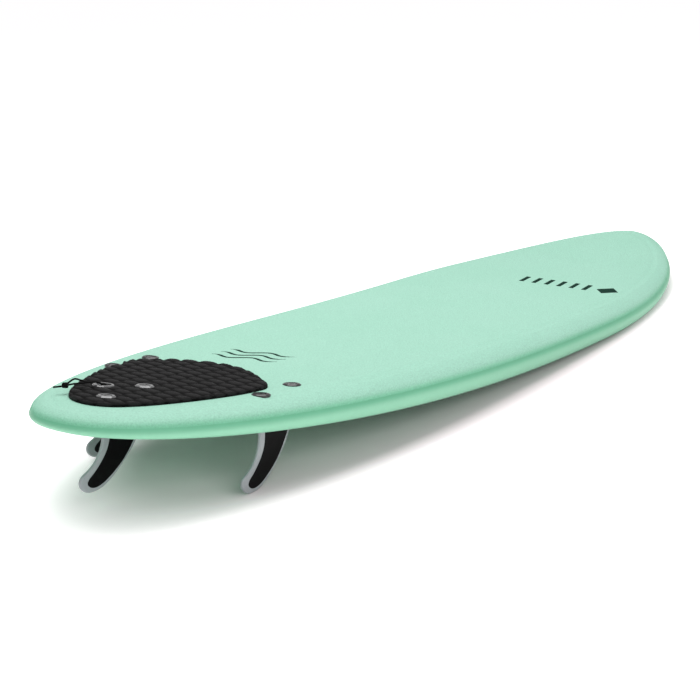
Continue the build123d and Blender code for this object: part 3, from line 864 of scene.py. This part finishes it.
def print_piece(name, outline):
    """A print on the deck, its outline in mm from the tail."""
    outline = np.array(outline) - (LENGTH / 2, 0)
    mesh = plate_mesh(name, outline, [], PRINT_STEP, PRINT_RINGS, print_place)
    add_object(name, mesh, print_material)


def divided(corners, step=3.0):
    """A closed outline with its straight sides divided evenly."""
    outline = []
    for a, b in zip(corners, corners[1:] + corners[:1]):
        a, b = np.array(a, dtype=float), np.array(b, dtype=float)
        count = max(1, round(np.linalg.norm(b - a) / step))
        outline.extend(a + (b - a) * k / count for k in range(count))
    return outline


def stroke(line, width, taper=8, tip=0.25):
    """Outline round an open line, width across. Its ends taper to tip of that over 1/taper of the length."""
    line = np.array(line, dtype=float)
    tangent = np.gradient(line, axis=0)
    normal = np.stack([-tangent[:, 1], tangent[:, 0]], axis=1)
    normal /= np.linalg.norm(normal, axis=1)[:, None]
    share = np.linspace(0, 1, len(line))[:, None]
    half = width / 2 * np.clip(np.minimum(share, 1 - share) * taper, tip, 1)
    return np.concatenate([line + normal * half, (line - normal * half)[::-1]])


# Six plain slanted bars across the deck, forward of the middle, and a diamond at the end of their row.
BAR_COUNT, BAR_FIRST, BAR_PITCH = 6, 9, 31
BAR_BACK, BAR_FRONT, BAR_WIDTH, BAR_SLANT = 1520, 1574, 11, 7
for index in range(BAR_COUNT):
    y = BAR_FIRST - index * BAR_PITCH
    bar = [
        (BAR_BACK, y - BAR_WIDTH), (BAR_BACK, y),
        (BAR_FRONT, y + BAR_SLANT), (BAR_FRONT, y + BAR_SLANT - BAR_WIDTH),
    ]
    print_piece(f"print_bar_{index + 1}", divided(bar))
DIAMOND_STATION, DIAMOND_Y, DIAMOND_LENGTH, DIAMOND_WIDTH = 1546, -198, 32, 26
print_piece("print_diamond", divided([
    (DIAMOND_STATION - DIAMOND_LENGTH, DIAMOND_Y), (DIAMOND_STATION, DIAMOND_Y + DIAMOND_WIDTH),
    (DIAMOND_STATION + DIAMOND_LENGTH, DIAMOND_Y), (DIAMOND_STATION, DIAMOND_Y - DIAMOND_WIDTH),
]))

# Three plain waves in front of the tail pad.
WAVE_COUNT, WAVE_STATION, WAVE_PITCH, WAVE_WIDTH = 3, 512, 27, 7.0
WAVE_RIGHT, WAVE_LEFT, WAVE_MIDDLE, WAVE_POINTS = -34, 92, 30, 80
WAVE_SLANT, WAVE_HEIGHT, WAVE_LENGTH = 0.25, 8, 11
for index in range(WAVE_COUNT):
    station = WAVE_STATION + index * WAVE_PITCH
    line = [
        (station - WAVE_SLANT * (y - WAVE_MIDDLE) + WAVE_HEIGHT * sin(y / WAVE_LENGTH), y)
        for y in np.linspace(WAVE_RIGHT, WAVE_LEFT, WAVE_POINTS)
    ]
    print_piece(f"print_wave_{index + 1}", stroke(line, WAVE_WIDTH))

# ---------------------------------------------------------------- floor, light and background
# Half of the floor's side (m).
FLOOR_HALF = 40
# The floor glows outside an ellipse round the board, a painted light that ends the board's shadow at its edge:
# the ellipse's reach (m), and its shift and the glow's start and end as shares of that reach.
FLOOR_REACH, FLOOR_SHIFT = (0.99, 0.29), (0, 0.12, 0)
GLOW_FROM, GLOW_TO, GLOW_STRENGTH = 0.86, 1.2, 0.62
# The paper's tint near the board is darker and pinker than far from it: painted shade, toned against the green
# light thrown off the board.
PAPER_NEAR_SHADE_TINT, PAPER_FAR = (0.89, 0.78, 0.815), (0.84, 0.84, 0.84)


def floor_finish():
    """White paper with painted light: it glows outside an ellipse round the board, and is a darker, pinker
    tint inside it.
    """
    material, nodes, links, shader = new_material("studio_floor")
    shader.inputs["Roughness"].default_value = 0.9
    shader.inputs["Specular IOR Level"].default_value = 0.1
    shader.inputs["Emission Color"].default_value = (1, 1, 1, 1)
    shrink = (1 / FLOOR_REACH[0], 1 / FLOOR_REACH[1], 1)
    stretched = add_node(nodes, "ShaderNodeMapping", Location=FLOOR_SHIFT, Scale=shrink)
    links.new(object_position(nodes), stretched.inputs["Vector"])
    distance = nodes.new("ShaderNodeVectorMath")
    distance.operation = "LENGTH"
    links.new(stretched.outputs["Vector"], distance.inputs[0])
    # Painted light: the floor's emission rises outside the ellipse.
    glow = nodes.new("ShaderNodeMapRange")
    glow.interpolation_type = "SMOOTHSTEP"
    glow.inputs["From Min"].default_value = GLOW_FROM
    glow.inputs["From Max"].default_value = GLOW_TO
    glow.inputs["To Min"].default_value = 0.0
    glow.inputs["To Max"].default_value = GLOW_STRENGTH
    links.new(distance.outputs["Value"], glow.inputs["Value"])
    links.new(glow.outputs["Result"], shader.inputs["Emission Strength"])
    # Painted shade: the darker, pinker tint near the board, fading to plain paper where the glow is full.
    paper_and_painted_shade = mix(nodes, links, PAPER_NEAR_SHADE_TINT, PAPER_FAR, glow.outputs["Result"])
    links.new(paper_and_painted_shade, shader.inputs["Base Color"])
    return material


floor_mesh = bpy.data.meshes.new("floor")
floor_corners = [(x * FLOOR_HALF, y * FLOOR_HALF, 0) for x, y in ((-1, -1), (1, -1), (1, 1), (-1, 1))]
floor_mesh.from_pydata(floor_corners, [], [(0, 1, 2, 3)])
floor_mesh.materials.append(floor_finish())
floor = bpy.data.objects.new("floor", floor_mesh)
scene.collection.objects.link(floor)


def area_light(name, place, target, size, power):
    """A soft rectangular light at place, aimed at target."""
    light = bpy.data.lights.new(name, "AREA")
    light.shape = "RECTANGLE"
    light.size, light.size_y = size
    light.energy = power
    lamp = bpy.data.objects.new(name, light)
    aim = (Vector(target) - Vector(place)).to_track_quat("-Z", "Y").to_matrix().to_4x4()
    lamp.matrix_world = Matrix.Translation(place) @ aim
    scene.collection.objects.link(lamp)


area_light("overhead", place=(0.1, 0.45, 2.8), target=(0, 0, 0.1), size=(3.4, 2.0), power=74)
area_light("front_fill", place=(-1.7, -2.6, 1.7), target=(-0.2, 0, 0.1), size=(3.0, 1.4), power=26)


def white_world(light_strength):
    """A backdrop that looks white, and lights the board less than it looks."""
    world = bpy.data.worlds.new("world")
    world.use_nodes = True
    nodes, links = world.node_tree.nodes, world.node_tree.links
    soft = nodes["Background"]
    soft.inputs["Color"].default_value = (1, 1, 1, 1)
    soft.inputs["Strength"].default_value = light_strength
    seen = add_node(nodes, "ShaderNodeBackground", Color=(1, 1, 1, 1), Strength=1.0)
    switch = nodes.new("ShaderNodeMixShader")
    light_path = nodes.new("ShaderNodeLightPath")
    links.new(light_path.outputs["Is Camera Ray"], switch.inputs["Fac"])
    links.new(soft.outputs["Background"], switch.inputs[1])
    links.new(seen.outputs["Background"], switch.inputs[2])
    links.new(switch.outputs["Shader"], nodes["World Output"].inputs["Surface"])
    return world


scene.world = white_world(light_strength=0.45)
scene.view_settings.view_transform = "Standard"
